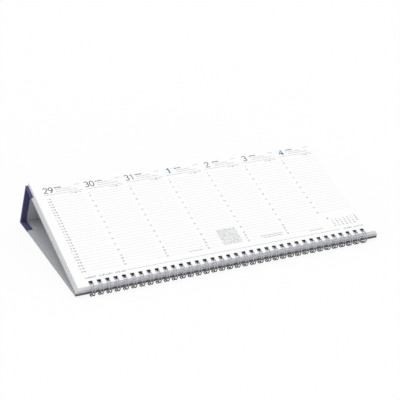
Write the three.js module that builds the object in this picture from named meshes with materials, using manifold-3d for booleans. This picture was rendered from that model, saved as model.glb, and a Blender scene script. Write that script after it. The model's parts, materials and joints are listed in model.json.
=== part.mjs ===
import * as THREE from "three";
import { mergeVertices } from "three/addons/utils/BufferGeometryUtils.js";
import Module from "manifold-3d";

// A weekly desk calendar: a pad of landscape leaves on a hollow wedge of three boards,
// bound along its low front edge by one twin-loop wire.
// Millimetres. X runs along the binding, Y from the binding to the back, Z up.
// Everything is drawn in the frame of the top leaf: y is the distance up the leaf from its
// front edge and z the height over it. The last lines turn that frame as the calendar rests.

// Pad of leaves
const PAGE_WIDTH = 324.5;
const PAGE_DEPTH = 156;
const PAD_THICKNESS = 5.5;
const LEAF_SHIFT = 0.9; // the bottom leaf lies this much further back, round the wire's curve

// Boards of the stand
const BOARD_THICKNESS = 1.9;
const LEFT_OVERHANG = 2; // board past the leaves at the left end
const RIGHT_OVERHANG = 3.5; // board past the leaves at the right end
const BACK_OVERHANG = 1.6; // front board past the back edge of the leaves
const BACK_PANEL_HEIGHT = 59.2; // outside, from the top fold to the rear fold
const BASE_DEPTH = 175.5; // outside, from the front edge to the rear fold
const FRONT_GAP = 0.4; // between the front board and the base where they meet at the wire

// Cloth and papers glued to the boards
const CLOTH_THICKNESS = 0.3;
const CLOTH_LAP_ON_FRONT = 19;
const CLOTH_LAP_ON_BASE = 26;
const CLOTH_TURN_IN = 5.6; // cloth brought round the board ends onto the inside
const PAPER_THICKNESS = 0.2;
const GLUE_LINE = 0.15; // between a board and what is glued to it, and under the pad
const SHEET_GAP = 0.3; // between the edges of two sheets that lie side by side
const LINER_SETBACK = 10; // liner behind the front edges, clear of the wire
const FOLD_PIECES = 4; // flats that make up the bend of the cloth over a fold

// Twin-loop wire
const LOOP_PITCH = 25.4 / 3;
const LEAST_END_MARGIN = 12; // leaf beyond the last loop, at least
const WIRE_DIAMETER = 1;
const LOOP_SPREAD = 2.6; // between the two wires of one loop
const RING_DEPTH = 12; // closed loop between wire centres, along the leaf
const RING_RISE = 0.8; // wire centre over the top leaf at the highest point
const RING_DROP = 1.45; // wire centre under the layers at the lowest point
const ROOT_ANGLE = THREE.MathUtils.degToRad(286); // where neighbouring loops are joined
const TIP_ANGLE = THREE.MathUtils.degToRad(258 + 360); // where a loop's round tip begins
const ROOT_DIP = 0.7; // how far the bend between two loops bows out
const SQUARE_SHARE = 0.84; // side of the square drawn for the round section, per diameter
const ARC_STEPS = 12;
const BEND_STEPS = 3;

// Punched holes
const HOLE_EDGE_MARGIN = 2; // leaf between its front edge and the holes
const HOLE_CLEARANCE = 0.25; // round the wire in its hole
const PUNCH_OVERRUN = 1; // the cutting prism past the face it cuts

// Colours of the finished surfaces
const PAPER_WHITE = new THREE.MeshStandardMaterial({ color: 0xf4f4f2, roughness: 0.9, metalness: 0 });
const COVER_WHITE = new THREE.MeshStandardMaterial({ color: 0xd6d6d6, roughness: 0.85, metalness: 0 });
const LINER_GREY = new THREE.MeshStandardMaterial({ color: 0xc2c3c8, roughness: 0.9, metalness: 0 });
const BASE_GREY = new THREE.MeshStandardMaterial({ color: 0x4a4a4d, roughness: 0.85, metalness: 0 });
const GREYBOARD = new THREE.MeshStandardMaterial({ color: 0xa4a4a2, roughness: 0.95, metalness: 0 });
const NAVY_CLOTH = new THREE.MeshStandardMaterial({ color: 0x3f3e60, roughness: 0.85, metalness: 0 });
const SILVER_WIRE = new THREE.MeshStandardMaterial({ color: 0xb4b5bf, roughness: 0.35, metalness: 0.8 });

const wasm = await Module();
wasm.setup();

// Turns a closed geometry into a solid for cutting and joining.
function solidOf(geometry) {
  const bare = geometry.clone();
  bare.deleteAttribute("normal");
  bare.deleteAttribute("uv");
  const merged = mergeVertices(bare, 1e-4);
  return new wasm.Manifold(
    new wasm.Mesh({
      numProp: 3,
      vertProperties: new Float32Array(merged.attributes.position.array),
      triVerts: new Uint32Array(merged.index.array),
    }),
  );
}

// Turns a solid back into a geometry that can be drawn.
function geometryOf(solid) {
  const mesh = solid.getMesh();
  const geometry = new THREE.BufferGeometry();
  geometry.setAttribute("position", new THREE.BufferAttribute(mesh.vertProperties, 3));
  geometry.setIndex(new THREE.BufferAttribute(mesh.triVerts, 1));
  geometry.computeVertexNormals();
  return geometry;
}

function namedMesh(name, geometry, material) {
  const mesh = new THREE.Mesh(geometry, material);
  mesh.name = name;
  return mesh;
}

// A point of the side view: x of the vector is the distance y, y of the vector the height z.
function at(y, z) {
  return new THREE.Vector2(y, z);
}

// The solid between two stations along X whose side view is the given outline.
function prism(points, fromX, toX) {
  const geometry = new THREE.ExtrudeGeometry(new THREE.Shape(points), {
    depth: toX - fromX,
    bevelEnabled: false,
  });
  const sideways = new THREE.Matrix4().makeBasis(
    new THREE.Vector3(0, 1, 0),
    new THREE.Vector3(0, 0, 1),
    new THREE.Vector3(1, 0, 0),
  );
  return geometry.applyMatrix4(sideways).translate(fromX, 0, 0);
}

function rectangle(fromY, toY, fromZ, toZ) {
  return [at(fromY, fromZ), at(toY, fromZ), at(toY, toZ), at(fromY, toZ)];
}

// Widths, from the leaves outwards
const boardWidth = PAGE_WIDTH + LEFT_OVERHANG + RIGHT_OVERHANG;
const boardLeft = -boardWidth / 2;
const boardRight = boardWidth / 2;
const pageLeft = boardLeft + LEFT_OVERHANG;
const loopCount = Math.floor((PAGE_WIDTH - 2 * LEAST_END_MARGIN) / LOOP_PITCH) + 1;
const firstLoop = pageLeft + (PAGE_WIDTH - (loopCount - 1) * LOOP_PITCH) / 2;

// Heights of the layers under the top leaf
const padBottom = -PAD_THICKNESS;
const frontBoardTop = padBottom - 2 * GLUE_LINE - CLOTH_THICKNESS;
const frontBoardBottom = frontBoardTop - BOARD_THICKNESS;
const baseTopAtFront = frontBoardBottom - FRONT_GAP;
const coverDepth = GLUE_LINE + PAPER_THICKNESS;
const stackHeight = -baseTopAtFront + BOARD_THICKNESS + coverDepth;

// The loop seen from its end is an ellipse that stands out over the top leaf and under the
// base. It is placed so that the wire goes down through the front of the hole in the top leaf.
const wireRadius = WIRE_DIAMETER / 2;
const ringHalfDepth = RING_DEPTH / 2;
const ringHalfHeight = (RING_RISE + stackHeight + RING_DROP) / 2;
const ringCentreZ = RING_RISE - ringHalfHeight;
const innerReach = Math.sqrt(1 - (ringCentreZ / (ringHalfHeight - wireRadius)) ** 2);
const ringCentreY =
  HOLE_EDGE_MARGIN + HOLE_CLEARANCE - (ringHalfDepth - wireRadius) * innerReach;

function ringPoint(angle, offset = 0) {
  return at(
    ringCentreY + (ringHalfDepth + offset) * Math.cos(angle),
    ringCentreZ + (ringHalfHeight + offset) * Math.sin(angle),
  );
}

// The stretch along y that the back half of the loops takes up within a layer. toLayer turns
// a point of the leaf's frame into the layer's own, and slide is how far the layer has
// moved back at a height.
function wireSpan(bottomZ, topZ, toLayer = (p) => p, slide = () => 0) {
  const samples = 2000;
  const span = { min: Infinity, max: -Infinity };
  for (let i = 0; i <= samples; i++) {
    const angle = Math.PI * (i / samples - 0.5);
    for (const offset of [-wireRadius, wireRadius]) {
      const point = toLayer(ringPoint(angle, offset));
      if (point.y < bottomZ || point.y > topZ) continue;
      span.min = Math.min(span.min, point.x - slide(point.y));
      span.max = Math.max(span.max, point.x - slide(point.y));
    }
  }
  return span;
}

const leafSlide = (z) => (-z / PAD_THICKNESS) * LEAF_SHIFT;
const padSpan = wireSpan(padBottom, 0, undefined, leafSlide);
const frontBoardSpan = wireSpan(frontBoardBottom, frontBoardTop);
const holeWidth = LOOP_SPREAD + WIRE_DIAMETER + 2 * HOLE_CLEARANCE;
const holeDepthFor = (span) => span.max - span.min + 2 * HOLE_CLEARANCE;
const holeDepth = Math.max(holeDepthFor(padSpan), holeDepthFor(frontBoardSpan));

// The front board hangs forward until the wire stops it at the back of its holes.
const frontHoleBack = frontBoardSpan.max + HOLE_CLEARANCE;
const frontHoleFront = frontHoleBack - holeDepth;
const frontBoardFront = frontHoleFront - HOLE_EDGE_MARGIN;
const frontBoardBack = PAGE_DEPTH + BACK_OVERHANG;

// The wedge closes as a triangle: the top fold, the base's front corner and the rear fold.
const topFold = at(frontBoardBack, frontBoardTop);
const baseFront = at(frontBoardFront, baseTopAtFront);
const baseDiagonal = Math.hypot(BASE_DEPTH, BOARD_THICKNESS);
const slopeLine = topFold.clone().sub(baseFront);
const cornerAngle = Math.acos(
  (slopeLine.lengthSq() + baseDiagonal ** 2 - BACK_PANEL_HEIGHT ** 2) /
    (2 * slopeLine.length() * baseDiagonal),
);
const wedgeAngle =
  cornerAngle - slopeLine.angle() - Math.atan(BOARD_THICKNESS / BASE_DEPTH);
const alongBase = at(Math.cos(wedgeAngle), -Math.sin(wedgeAngle));
const underBase = at(-Math.sin(wedgeAngle), -Math.cos(wedgeAngle));
const rearFold = baseFront
  .clone()
  .addScaledVector(underBase, BOARD_THICKNESS)
  .addScaledVector(alongBase, BASE_DEPTH);

// Unit vectors along the outside, from the front board over the top fold to the base, and
// the outward normal of each stretch
const alongFront = at(1, 0);
const downBack = rearFold.clone().sub(topFold).normalize();
const forwardUnder = alongBase.clone().negate();
const outwardOf = (direction) => at(-direction.y, direction.x);
const rearAngle = Math.acos(-downBack.dot(forwardUnder));
const boardMitre = BOARD_THICKNESS / Math.tan(rearAngle);

// A corner of the outline that runs at a distance outside the boards: round outside, where
// the cloth bends over the fold, and sharp inside.
function corner(fold, before, after, distance) {
  const bisector = outwardOf(before).add(outwardOf(after)).normalize();
  if (distance <= 0) {
    const reach = distance / bisector.dot(outwardOf(before));
    return [fold.clone().addScaledVector(bisector, reach)];
  }
  const start = outwardOf(before).angle();
  const turn = outwardOf(after).angle() - start;
  const sweep = Math.atan2(Math.sin(turn), Math.cos(turn));
  return Array.from({ length: FOLD_PIECES + 1 }, (_, i) => {
    const angle = start + (sweep * i) / FOLD_PIECES;
    return fold.clone().add(at(Math.cos(angle), Math.sin(angle)).multiplyScalar(distance));
  });
}

// The line that follows the three boards at a distance outside their outer faces, from a
// point on the front board to a point on the base. A negative distance lies inside.
function aroundBoards(distance, lapOnFront, lapOnBase) {
  const start = topFold.clone().addScaledVector(alongFront, -lapOnFront);
  const end = rearFold.clone().addScaledVector(forwardUnder, lapOnBase);
  return [
    start.addScaledVector(outwardOf(alongFront), distance),
    ...corner(topFold, alongFront, downBack, distance),
    ...corner(rearFold, downBack, forwardUnder, distance),
    end.addScaledVector(outwardOf(forwardUnder), distance),
  ];
}

function band(nearer, further, lapOnFront, lapOnBase) {
  return [
    ...aroundBoards(nearer, lapOnFront, lapOnBase),
    ...aroundBoards(further, lapOnFront, lapOnBase).reverse(),
  ];
}

// Cuts the row of punched holes out of a sheet. The outline is one hole from the side.
function punched(sheet, outline) {
  let solid = solidOf(sheet);
  for (let i = 0; i < loopCount; i++) {
    const x = firstLoop + i * LOOP_PITCH;
    solid = solid.subtract(solidOf(prism(outline, x - holeWidth / 2, x + holeWidth / 2)));
  }
  return geometryOf(solid);
}

function makePad() {
  const slanted = (fromY, toY, fromZ, toZ) => [
    at(fromY + leafSlide(fromZ), fromZ),
    at(toY + leafSlide(fromZ), fromZ),
    at(toY + leafSlide(toZ), toZ),
    at(fromY + leafSlide(toZ), toZ),
  ];
  const outline = slanted(0, PAGE_DEPTH, padBottom, 0);
  const hole = slanted(
    HOLE_EDGE_MARGIN,
    HOLE_EDGE_MARGIN + holeDepth,
    padBottom - PUNCH_OVERRUN,
    PUNCH_OVERRUN,
  );
  const sheet = prism(outline, pageLeft, pageLeft + PAGE_WIDTH);
  return namedMesh("page_pad", punched(sheet, hole), PAPER_WHITE);
}

// A board's cover paper lies on one face and is brought over the front edge.
function coverOutline(frontEdge, backEdge, faceZ, edgeEndZ, outward) {
  const near = faceZ + outward * GLUE_LINE;
  const far = near + outward * PAPER_THICKNESS;
  const lipBack = frontEdge - GLUE_LINE;
  const lipFront = lipBack - PAPER_THICKNESS;
  const points = [
    at(lipFront, far),
    at(backEdge, far),
    at(backEdge, near),
    at(lipBack, near),
    at(lipBack, edgeEndZ),
    at(lipFront, edgeEndZ),
  ];
  return outward < 0 ? points : points.reverse();
}

function makeFrontBoard() {
  const group = new THREE.Group();
  const hole = rectangle(
    frontHoleFront,
    frontHoleBack,
    frontBoardBottom - PUNCH_OVERRUN,
    frontBoardTop + PUNCH_OVERRUN,
  );
  const board = rectangle(frontBoardFront, frontBoardBack, frontBoardBottom, frontBoardTop);
  const paper = coverOutline(
    frontBoardFront,
    frontBoardBack - CLOTH_LAP_ON_FRONT - SHEET_GAP,
    frontBoardTop,
    frontBoardBottom,
    1,
  );
  group.add(
    namedMesh("front_board", punched(prism(board, boardLeft, boardRight), hole), GREYBOARD),
    namedMesh(
      "front_cover_paper",
      punched(prism(paper, boardLeft, boardRight), hole),
      COVER_WHITE,
    ),
  );
  return group;
}

// The base is drawn lying flat, from its front top edge, and turned down by the wedge angle.
function makeBase() {
  const group = new THREE.Group();
  group.position.set(0, baseFront.x, baseFront.y);
  group.rotation.x = -wedgeAngle;
  const toBase = (point) =>
    point.clone().sub(baseFront).rotateAround(new THREE.Vector2(), wedgeAngle);
  const span = wireSpan(-BOARD_THICKNESS, 0, toBase);
  const holeMiddle = (span.min + span.max) / 2;
  const holeReach = Math.max(holeDepth, holeDepthFor(span)) / 2;
  const hole = rectangle(
    holeMiddle - holeReach,
    holeMiddle + holeReach,
    -BOARD_THICKNESS - coverDepth - PUNCH_OVERRUN,
    PUNCH_OVERRUN,
  );
  const board = rectangle(0, BASE_DEPTH - boardMitre, -BOARD_THICKNESS, 0);
  const paper = coverOutline(
    0,
    BASE_DEPTH - CLOTH_LAP_ON_BASE - SHEET_GAP,
    -BOARD_THICKNESS,
    0,
    -1,
  );
  group.add(
    namedMesh("base_board", punched(prism(board, boardLeft, boardRight), hole), GREYBOARD),
    namedMesh(
      "base_cover_paper",
      punched(prism(paper, boardLeft, boardRight), hole),
      BASE_GREY,
    ),
  );
  return group;
}

// The back board stands between the front board and the base, along the outer line from
// fold to fold. It is drawn hanging down from the top fold and turned to that line.
function makeBackBoard() {
  const inward = outwardOf(downBack).negate();
  const innerCorner = inward.clone().multiplyScalar(BOARD_THICKNESS);
  const downTo = BOARD_THICKNESS + GLUE_LINE;
  const start = Math.max(0, innerCorner.y / -downBack.y) + downTo / -downBack.y;
  const overBase = underBase.clone().negate();
  const heightOver = (point) => point.clone().sub(baseFront).dot(overBase);
  const spare = Math.min(
    heightOver(topFold),
    heightOver(topFold.clone().add(innerCorner)),
  );
  const end = (spare - GLUE_LINE) / -downBack.dot(overBase);
  const outline = rectangle(-BOARD_THICKNESS, 0, -end, -start);
  const board = namedMesh("back_board", prism(outline, boardLeft, boardRight), GREYBOARD);
  board.position.set(0, topFold.x, topFold.y);
  board.rotation.x = downBack.angle() + Math.PI / 2;
  return board;
}

// One piece of cloth: over the folds outside, round the ends of the boards and onto the
// inside as a narrow margin.
function makeCloth() {
  const laps = [CLOTH_LAP_ON_FRONT, CLOTH_LAP_ON_BASE];
  const outerFace = GLUE_LINE + CLOTH_THICKNESS;
  const innerNear = -BOARD_THICKNESS - GLUE_LINE;
  const innerFar = innerNear - CLOTH_THICKNESS;
  const wallStart = boardRight + GLUE_LINE;
  const wallEnd = wallStart + CLOTH_THICKNESS;
  const outside = band(GLUE_LINE, outerFace, ...laps).reverse();
  const wall = band(innerFar, outerFace, ...laps).reverse();
  const inside = band(innerFar, innerNear, ...laps).reverse();
  let solid = solidOf(prism(outside, -wallEnd, wallEnd));
  for (const [from, to] of [[wallStart, wallEnd], [-wallEnd, -wallStart]])
    solid = solid.add(solidOf(prism(wall, from, to)));
  const marginEdge = boardRight - CLOTH_TURN_IN;
  for (const [from, to] of [[marginEdge, wallEnd], [-wallEnd, -marginEdge]])
    solid = solid.add(solidOf(prism(inside, from, to)));
  return namedMesh("cloth_strip", geometryOf(solid), NAVY_CLOTH);
}

// The lining sheet is folded once at each fold and covers the inside between the margins.
function makeLiner() {
  const near = -BOARD_THICKNESS - GLUE_LINE;
  const outline = band(
    near - PAPER_THICKNESS,
    near,
    frontBoardBack - frontBoardFront - LINER_SETBACK,
    BASE_DEPTH - LINER_SETBACK,
  ).reverse();
  const half = boardRight - CLOTH_TURN_IN - SHEET_GAP;
  return namedMesh("inner_liner", prism(outline, -half, half), LINER_GREY);
}

// The loops are drawn in straight steps. Their corners lie outside the true line by half
// of what a step cuts off, so that the steps keep to the middle of the holes.
const arcStep = (TIP_ANGLE - ROOT_ANGLE) / ARC_STEPS;
const cornerRelief = (ringHalfHeight * (1 - Math.cos(arcStep / 2))) / 2;

// The centre line of the wire. Each loop goes round the ring to its tip on one side, turns
// there, comes back on the other side and bows across to the next loop. Its parameter
// counts steps and not length, so that every loop is drawn alike.
class TwinLoopWire extends THREE.Curve {
  constructor(stepsPerLoop) {
    super();
    this.stepsPerLoop = stepsPerLoop;
  }

  getPoint(t) {
    const whole = Math.min(t * loopCount, loopCount - 1e-9);
    const loop = Math.floor(whole);
    const step = (whole - loop) * this.stepsPerLoop;
    const centre = firstLoop + loop * LOOP_PITCH;
    const half = LOOP_SPREAD / 2;
    const bridge = (LOOP_PITCH - LOOP_SPREAD) / 2;
    let x;
    let angle;
    if (step < ARC_STEPS) {
      x = centre - half;
      angle = ROOT_ANGLE + arcStep * step;
    } else if (step < ARC_STEPS + BEND_STEPS) {
      const turn = (Math.PI * (step - ARC_STEPS)) / BEND_STEPS;
      x = centre - half * Math.cos(turn);
      angle = TIP_ANGLE + (half / ringHalfDepth) * Math.sin(turn);
    } else if (step < 2 * ARC_STEPS + BEND_STEPS) {
      x = centre + half;
      angle = TIP_ANGLE - arcStep * (step - ARC_STEPS - BEND_STEPS);
    } else {
      const turn = (Math.PI * (step - 2 * ARC_STEPS - BEND_STEPS)) / BEND_STEPS;
      x = centre + half + bridge * (1 - Math.cos(turn));
      angle = ROOT_ANGLE - (ROOT_DIP / ringHalfDepth) * Math.sin(turn);
    }
    const side = ringPoint(angle, cornerRelief);
    return new THREE.Vector3(x, side.x, side.y);
  }

  getPointAt(u) {
    return this.getPoint(u);
  }

  getTangentAt(u) {
    return this.getTangent(u);
  }
}

// The wire's section is drawn as a square of nearly the area of the round one.
function makeWire() {
  const stepsPerLoop = 2 * ARC_STEPS + 2 * BEND_STEPS;
  const half = (WIRE_DIAMETER * SQUARE_SHARE) / 2;
  const geometry = new THREE.ExtrudeGeometry(
    new THREE.Shape(rectangle(-half, half, -half, half)),
    {
      steps: loopCount * stepsPerLoop - BEND_STEPS,
      extrudePath: new TwinLoopWire(stepsPerLoop),
      bevelEnabled: false,
    },
  );
  return namedMesh("binding_wire", geometry, SILVER_WIRE);
}

// The calendar rests on the bottoms of the wire loops and on the cloth over the rear fold.
// The leaf's slope is the angle at which both are equally low.
function restingSlope() {
  const outerFace = GLUE_LINE + CLOTH_THICKNESS;
  const loopBottom = (slope) =>
    ringCentreY * Math.sin(slope) +
    ringCentreZ * Math.cos(slope) -
    Math.hypot(
      (ringHalfDepth + wireRadius) * Math.sin(slope),
      (ringHalfHeight + wireRadius) * Math.cos(slope),
    );
  const foldBottom = (slope) =>
    rearFold.x * Math.sin(slope) + rearFold.y * Math.cos(slope) - outerFace;
  let low = 0;
  let high = Math.PI / 3;
  for (let i = 0; i < 60; i++) {
    const slope = (low + high) / 2;
    if (foldBottom(slope) < loopBottom(slope)) low = slope;
    else high = slope;
  }
  return low;
}

const slope = restingSlope();
const calendar = new THREE.Group();
calendar.add(makePad(), makeFrontBoard(), makeBase(), makeBackBoard());
calendar.add(makeCloth(), makeLiner(), makeWire());
calendar.rotation.x = slope;
calendar.updateMatrixWorld(true);
const extent = new THREE.Box3().setFromObject(calendar, true);
calendar.position.set(0, -(extent.min.y + extent.max.y) / 2, -extent.min.z);

const part = new THREE.Group();
part.add(calendar);
export default part;
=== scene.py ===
"""A weekly desk calendar on a hollow board wedge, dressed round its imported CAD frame.

Lengths are in metres. Names that end in _mm and the whole printing are in millimetres. The
leaf frame is the flat system of the top leaf: x runs along the binding as in the row frame, v
from the leaf's front edge to the back, and h stands square on the leaf. Every new piece is
worked out there and turned into the row frame, so that its object stays at the origin.
Colours are sRGB hex codes, and the shaders take them as linear ones.
"""

import json
import logging
import math
from dataclasses import dataclass, field
from enum import Enum

import bmesh
import bpy
import numpy as np
from mathutils import Euler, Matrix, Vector

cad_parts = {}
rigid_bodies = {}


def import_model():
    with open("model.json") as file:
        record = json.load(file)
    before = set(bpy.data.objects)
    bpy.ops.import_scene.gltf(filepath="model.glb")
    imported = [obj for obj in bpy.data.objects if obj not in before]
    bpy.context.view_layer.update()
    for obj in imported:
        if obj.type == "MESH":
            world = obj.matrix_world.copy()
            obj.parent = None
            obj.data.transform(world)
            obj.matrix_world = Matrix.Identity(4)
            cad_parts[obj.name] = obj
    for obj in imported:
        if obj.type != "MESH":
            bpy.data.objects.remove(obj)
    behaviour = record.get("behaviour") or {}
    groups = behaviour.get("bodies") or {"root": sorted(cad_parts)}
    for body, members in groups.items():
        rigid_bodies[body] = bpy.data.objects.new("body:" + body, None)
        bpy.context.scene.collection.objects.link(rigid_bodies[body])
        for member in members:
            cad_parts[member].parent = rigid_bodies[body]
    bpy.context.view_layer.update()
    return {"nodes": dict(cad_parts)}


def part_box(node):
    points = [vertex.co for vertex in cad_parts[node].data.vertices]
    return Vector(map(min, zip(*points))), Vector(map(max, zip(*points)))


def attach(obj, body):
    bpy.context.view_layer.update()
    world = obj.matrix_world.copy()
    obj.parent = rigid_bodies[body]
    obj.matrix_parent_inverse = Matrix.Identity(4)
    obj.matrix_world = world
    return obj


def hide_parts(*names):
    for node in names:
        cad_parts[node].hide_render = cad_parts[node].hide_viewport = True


LOG = logging.getLogger("calendar")
MM = 0.001
ROOT = "root"
WHITE = (1.0, 1.0, 1.0, 1.0)
SHADER_INPUTS = {
    "roughness": "Roughness",
    "specular": "Specular IOR Level",
    "metallic": "Metallic",
    "sheen": "Sheen Weight",
}
Object = bpy.types.Object
Material = bpy.types.Material
Tree = bpy.types.NodeTree
Socket = bpy.types.NodeSocket
Colour = tuple[float, float, float, float]
Triple = tuple[float, float, float]
Array = np.ndarray


class Ink(Enum):
    """The printing inks, each with its colour as it lies on white paper."""

    DARK = "35363a"
    GREY = "8d9094"
    PALE_GREY = "c9cbcd"
    BLUE = "14527a"
    SLATE = "8792ab"
    PALE_BLUE = "a0b3c7"
    TINT = "f4fafe"


def channels(hex_code: str) -> Array:
    """Gives the red, green and blue of a hex code, each from 0 to 255."""
    return np.array(list(bytes.fromhex(hex_code)))


def linear_colour(hex_code: str) -> Colour:
    """Turns an sRGB hex code into linear red, green, blue and an alpha of one."""
    srgb = channels(hex_code) / 255
    linear = np.where(srgb <= 0.04045, srgb / 12.92, ((srgb + 0.055) / 1.055) ** 2.4)
    return (*linear.tolist(), 1.0)


def add_node(
    tree: Tree, kind: str, inputs: dict | None = None, **settings: object
) -> bpy.types.Node:
    """Adds a node, sets it up and links it, and gives it.

    Args:
        tree: the node tree.
        kind: Blender's name of the node type.
        inputs: by input name or number, a constant or the output socket to link.
        settings: the node's own properties.
    """
    node = tree.nodes.new(kind)
    for name, value in settings.items():
        setattr(node, name, value)
    for key, value in (inputs or {}).items():
        if isinstance(value, Socket):
            tree.links.new(value, node.inputs[key])
        else:
            node.inputs[key].default_value = value
    return node


def math_node(tree: Tree, operation: str, *values: float | Socket) -> Socket:
    """Adds a Math node of an operation, its inputs given in order, and returns the result."""
    node = add_node(tree, "ShaderNodeMath", dict(enumerate(values)), operation=operation)
    return node.outputs[0]


def mix_colours(
    tree: Tree,
    share: float | Socket,
    first: Colour | Socket,
    second: Colour | Socket,
    blend: str = "MIX",
) -> Socket:
    """Adds a mix of two linear colours or colour sockets, the second at a share of one."""
    inputs = {"Factor": share, 6: first, 7: second}
    node = add_node(tree, "ShaderNodeMix", inputs, data_type="RGBA", blend_type=blend)
    return node.outputs[2]


def ramp(tree: Tree, value: Socket, stops: list[tuple[float, str]]) -> Socket:
    """Adds a colour ramp over stops: pairs of a place from 0 to 1 and an sRGB hex colour."""
    node = add_node(tree, "ShaderNodeValToRGB", {"Fac": value})
    elements = node.color_ramp.elements
    while len(elements) < len(stops):
        elements.new(0.5)
    for element, (place, colour) in zip(elements, stops):
        element.position = place
        element.color = linear_colour(colour)
    return node.outputs["Color"]


def coordinates(
    tree: Tree,
    scale: Triple = (1.0, 1.0, 1.0),
    slope: float = 0.0,
    source: str = "Object",
) -> Socket:
    """Adds texture coordinates of a source, turned about X and stretched.

    Args:
        tree: the node tree.
        scale: how many pattern units there are in a metre along each axis.
        slope: the turn in radians, which lays the pattern along a sloping piece.
        source: the output of Texture Coordinate to read.
    """
    plain = add_node(tree, "ShaderNodeTexCoord").outputs[source]
    turn = {"Vector": plain, "Rotation": (-slope, 0, 0)}
    turned = add_node(tree, "ShaderNodeMapping", turn).outputs[0]
    node = add_node(tree, "ShaderNodeVectorMath", {0: turned, 1: scale}, operation="MULTIPLY")
    return node.outputs[0]


def axes(tree: Tree, **placing: float | str) -> bpy.types.bpy_prop_collection:
    """Adds coordinates of a slope or source, and gives them apart, by the names X, Y and Z."""
    return add_node(tree, "ShaderNodeSeparateXYZ", {0: coordinates(tree, **placing)}).outputs


def noise(
    tree: Tree,
    scale: Triple,
    detail: float = 2.0,
    roughness: float = 0.5,
    **placing: float | str,
) -> Socket:
    """Adds a noise texture, 0.5 on average.

    Args:
        tree: the node tree.
        scale: how many blotches there are in a metre along each axis.
        detail: how many finer layers it has.
        roughness: how strong each is beside the coarser one.
        placing: the slope or source that coordinates takes.
    """
    where = coordinates(tree, scale, **placing)
    inputs = {"Vector": where, "Scale": 1.0, "Detail": detail, "Roughness": roughness}
    return add_node(tree, "ShaderNodeTexNoise", inputs).outputs["Fac"]


def bump(tree: Tree, height: Socket, relief_mm: float, strength: float = 1.0) -> Socket:
    """Adds a relief of a height in millimetres, and gives its normal."""
    inputs = {"Height": height, "Distance": relief_mm * MM, "Strength": strength}
    return add_node(tree, "ShaderNodeBump", inputs).outputs["Normal"]


def new_material(name: str) -> tuple[Material, Tree]:
    """Makes a material with an empty Principled shader, and gives its node tree too."""
    material = bpy.data.materials.new(name)
    material.use_nodes = True
    return material, material.node_tree


def complete(
    material: Material, colour: Socket, normal: Socket | None, **levels: float
) -> Material:
    """Joins a material's nodes to its shader and sets the shader's constants.

    Args:
        material: the material.
        colour: the base colour.
        normal: the relief's normal, if it has a relief.
        levels: the constants, by the short names in SHADER_INPUTS.
    """
    tree = material.node_tree
    shader = tree.nodes["Principled BSDF"]
    tree.links.new(colour, shader.inputs["Base Color"])
    if normal:
        tree.links.new(normal, shader.inputs["Normal"])
    for name, value in levels.items():
        shader.inputs[SHADER_INPUTS[name]].default_value = value
    return material


@dataclass(frozen=True)
class Finish:
    """What the finishes share: the name that their material gets."""

    name: str


@dataclass(frozen=True)
class PaperFinish(Finish):
    """Uncoated wood-free paper, calendered: matt, with a faint cloudy fibre pattern.

    Attributes:
        light: the colour of the thin places of the sheet's cloudiness.
        dark: the colour of the dense places.
        cloud_mm: the size of the cloudiness.
        fibre_mm: the size of the fibre relief.
        relief_mm: the height of the fibre relief.
    """

    light: str
    dark: str
    cloud_mm: float = 6.0
    fibre_mm: float = 0.45
    relief_mm: float = 0.012

    def build(self) -> Material:
        """Makes the material: cloudy colour and fibre relief from two noises."""
        material, tree = new_material(self.name)
        per_cloud = 1 / (self.cloud_mm * MM)
        per_fibre = 1 / (self.fibre_mm * MM)
        cloud = noise(tree, (per_cloud,) * 3, detail=4.0)
        fibre = noise(tree, (per_fibre, per_fibre / 2, per_fibre), detail=3.0, roughness=0.6)
        relief = bump(tree, fibre, self.relief_mm, strength=0.6)
        colour = ramp(tree, cloud, [(0.3, self.dark), (0.7, self.light)])
        return complete(material, colour, relief, roughness=0.85, specular=0.25)


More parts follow.
